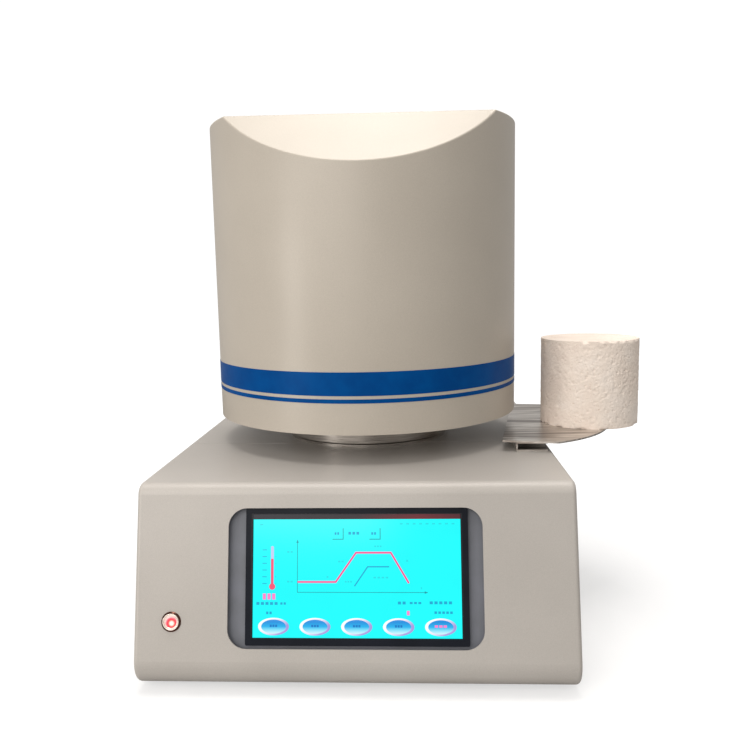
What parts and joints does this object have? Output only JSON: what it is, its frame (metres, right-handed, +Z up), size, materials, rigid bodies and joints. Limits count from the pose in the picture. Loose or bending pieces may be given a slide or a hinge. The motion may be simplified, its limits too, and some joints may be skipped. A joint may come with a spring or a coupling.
{
  "type": "bench-top vacuum firing furnace",
  "caption": "Bench-top vacuum furnace for small porcelain: round lifting head, console with touch screen, side cooling tray with a parked fibre plug.",
  "frame": {"origin": "on the bench, under the middle of the console's width and depth", "axes": "+Z up, +Y from the screen to the back wall, +X to the right as seen facing the screen"},
  "size_m": [0.4214, 0.4199, 0.439],
  "materials": {
    "cover_paint": "satin",
    "hood_paint": "satin",
    "band_blue": "satin",
    "zinc_sheet": "satin",
    "stainless": "satin",
    "tray_steel": "satin",
    "screw_steel": "satin",
    "machined_steel": "satin",
    "hard_chrome": "gloss",
    "aluminium": "satin",
    "brass": "satin",
    "rubber": "matte",
    "seal_rubber": "matte",
    "hose_rubber": "satin",
    "inset_grey": "satin",
    "bezel_black": "satin",
    "screen": "gloss",
    "circuit_board": "satin",
    "button_chrome": "gloss",
    "button_metal": "satin",
    "button_lens": "gloss",
    "motor_black": "matte",
    "transformer_tape": "satin",
    "fan_black": "satin",
    "rocker_black": "satin",
    "fibre": "matte",
    "plug_fibre": "matte",
    "plain_ceramic": "satin",
    "quartz": "gloss",
    "heating_wire": "matte"
  },
  "bodies": {
    "console": {"base_pan": "zinc_sheet", "rubber_feet": "rubber", "front_cover": "cover_paint", "rear_cover": "cover_paint", "cover_screws": "screw_steel", "display_inset": "inset_grey", "display_frame": "bezel_black", "display_screen": "screen", "control_board": "circuit_board", "display_screws": "screw_steel", "board_standoffs": "brass", "button_bezel": "button_chrome", "button_nut": "brass", "firing_platform": "stainless", "platform_seal": "seal_rubber", "deck_plate": "zinc_sheet", "deck_posts": "machined_steel", "lift_motor": "motor_black", "motor_spacers": "brass", "guide_rods": "hard_chrome", "top_plate": "aluminium", "screw_bearing": "machined_steel", "transformer": "transformer_tape", "power_board": "circuit_board", "vacuum_valve": "brass", "vacuum_hose_front": "hose_rubber", "vacuum_hose_rear": "hose_rubber", "vacuum_port": "brass", "fan_frame": "fan_black", "fan_guard": "hard_chrome", "power_inlet": "fan_black", "switch_housing": "fan_black", "fuse_holders": "fan_black", "tray_plate": "tray_steel", "tray_bracket": "tray_steel", "tray_screws": "screw_steel"},
    "firing_head": {"hood_shell": "hood_paint", "hood_screws": "screw_steel", "colour_bands": "band_blue", "hood_base_plate": "aluminium", "flange_ring": "stainless", "vacuum_chamber": "machined_steel", "chamber_lid": "aluminium", "heater_terminals": "brass", "fibre_lining": "fibre", "muffle_tube": "quartz", "heating_coil": "heating_wire", "thermocouple": "plain_ceramic", "lift_carriage": "aluminium", "carriage_bushes": "brass", "lift_nut": "brass"},
    "screw_assembly": {"motor_shaft": "machined_steel", "screw_coupler": "aluminium", "lead_screw": "machined_steel"},
    "push_button": {"button_cap": "button_metal", "button_lens": "button_lens"},
    "rotor": {"fan_rotor": "fan_black"},
    "rocker": {"switch_rocker": "rocker_black"},
    "plug": {"fibre_plug": "plug_fibre"}
  },
  "joints": [
    {"name": "head_lift", "type": "slide", "parent": "console", "child": "firing_head", "axis": [0, 0, 1], "range_m": [0, 0.15]},
    {"name": "screw_spin", "type": "hinge", "parent": "console", "child": "screw_assembly", "pos_m": [0, 0.137, 0.212], "axis": [0, 0, 1], "range_deg": [0, 6750]},
    {"name": "button_press", "type": "slide", "parent": "console", "child": "push_button", "axis": [0, 0.9697, -0.2445], "range_m": [0, 0.001], "stiffness_N_per_m": 900},
    {"name": "rocker_tilt", "type": "hinge", "parent": "console", "child": "rocker", "pos_m": [-0.11, 0.1975, 0.088], "axis": [1, 0, 0], "range_deg": [0, 20]},
    {"name": "rotor_spin", "type": "hinge", "parent": "console", "child": "rotor", "pos_m": [0.095, 0.187, 0.076], "axis": [0, 1, 0], "continuous": true},
    {"name": "plug_lift", "type": "slide", "parent": "console", "child": "plug", "axis": [0, 0, 1], "range_m": [0, 0.12]}
  ],
  "couplings": [
    {"joint": "screw_spin", "follows": "head_lift", "rad_per_m": 785.4}
  ]
}
